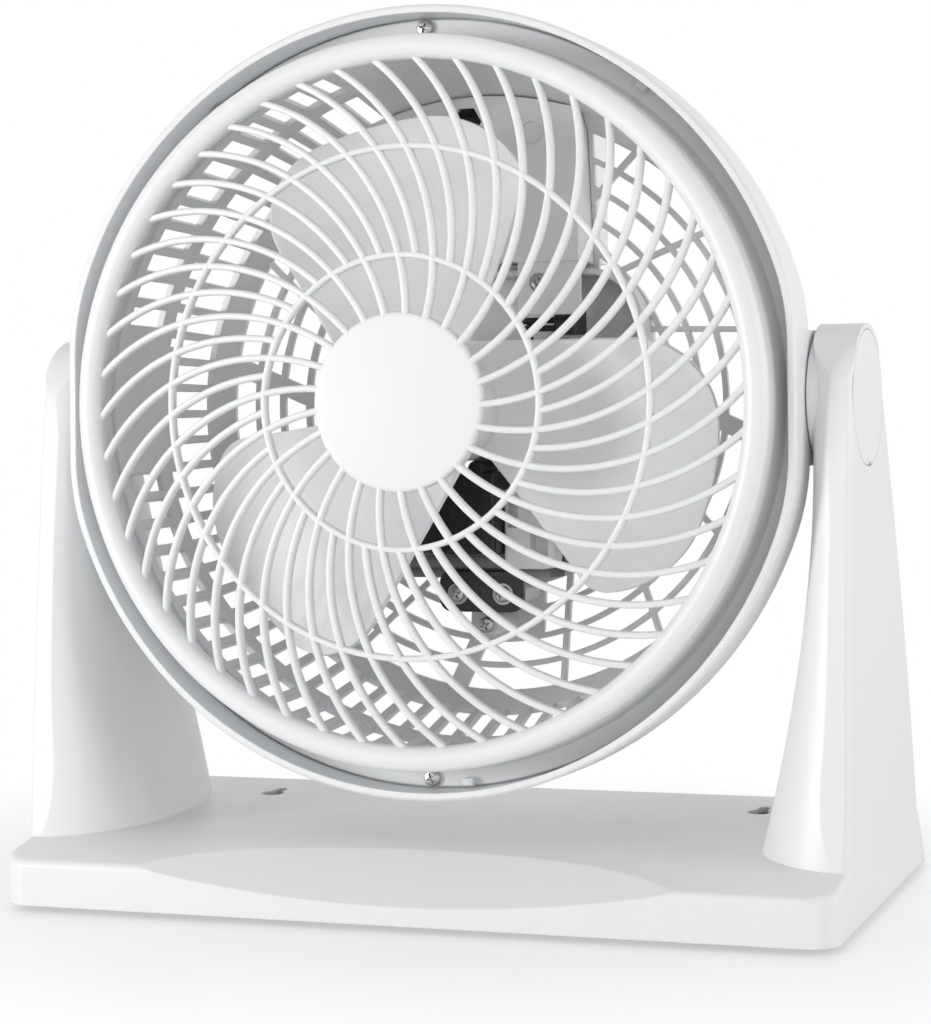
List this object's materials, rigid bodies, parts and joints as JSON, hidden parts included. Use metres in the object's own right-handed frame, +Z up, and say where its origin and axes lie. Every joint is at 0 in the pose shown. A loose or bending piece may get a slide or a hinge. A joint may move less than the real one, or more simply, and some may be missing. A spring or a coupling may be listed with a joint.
{
  "type": "desk air circulator fan",
  "caption": "Desk air circulator: a round slotted head with a swept-rib front grille and wide three-blade impeller, tilting between the two arms of a one-piece moulded stand.",
  "frame": {"origin": "on the floor under the middle of the base", "axes": "+Z up; air leaves along -Y; +X along the tilt axis, to the right as seen from the front"},
  "size_m": [0.318, 0.17, 0.3316],
  "materials": {
    "white_plastic": "fine satin moulding texture",
    "grille_plastic": "smooth satin",
    "blade_plastic": "smooth satin",
    "inner_plastic": "satin",
    "knob_plastic": "semi-gloss",
    "black_rubber": "matt",
    "zinc_screws": "zinc plated",
    "spring_steel": "blued spring steel",
    "shaft_steel": "ground",
    "stack_steel": "stacked sheets, varnished",
    "bracket_alloy": "die cast",
    "bronze_bush": "sintered, oiled",
    "coil_tape": "taped winding",
    "black_plastic": "satin",
    "black_clamp": "black enamel",
    "rotor_alloy": "cast end rings on a steel core"
  },
  "bodies": {
    "stand_body": {"stand": "white_plastic", "rubber_feet": "black_rubber", "pivot_cap_left": "white_plastic", "pivot_cap_right": "white_plastic", "wave_washers": "spring_steel"},
    "head_body": {"rear_housing": "white_plastic", "front_grille": "grille_plastic", "grille_screws": "zinc_screws", "pivot_washers": "zinc_screws", "pivot_screws": "zinc_screws", "motor_laminations": "stack_steel", "motor_coil": "coil_tape", "terminal_cover": "inner_plastic", "front_bearing_bracket": "bracket_alloy", "rear_bearing_bracket": "bracket_alloy", "front_bush": "bronze_bush", "rear_bush": "bronze_bush", "motor_bolts": "zinc_screws", "motor_clamp": "black_clamp", "clamp_washers": "zinc_screws", "clamp_screws": "zinc_screws", "housing_screws": "zinc_screws", "motor_lead": "black_rubber", "lead_connector": "black_plastic", "winding_wires": "black_rubber", "control_box": "inner_plastic", "control_box_cover": "white_plastic", "cover_screws": "zinc_screws", "cable_inlet": "black_rubber", "rotary_switch": "black_plastic"},
    "impeller_body": {"impeller": "blade_plastic", "hub_clip": "spring_steel", "motor_shaft": "shaft_steel", "rotor": "rotor_alloy"},
    "knob_body": {"speed_knob": "knob_plastic", "switch_spindle": "shaft_steel"}
  },
  "joints": [
    {"name": "head_tilt", "type": "hinge", "parent": "stand_body", "child": "head_body", "pos_m": [0, -0.014, 0.185], "axis": [-1, 0, 0], "range_deg": [-13, 87]},
    {"name": "impeller_spin", "type": "hinge", "parent": "head_body", "child": "impeller_body", "pos_m": [0, -0.014, 0.185], "axis": [0, -0.9986, 0.0523], "continuous": true},
    {"name": "speed_knob_turn", "type": "hinge", "parent": "head_body", "child": "knob_body", "pos_m": [0, 0.07559, 0.27043], "axis": [0, 0.9986, -0.0523], "range_deg": [0, 135]}
  ]
}
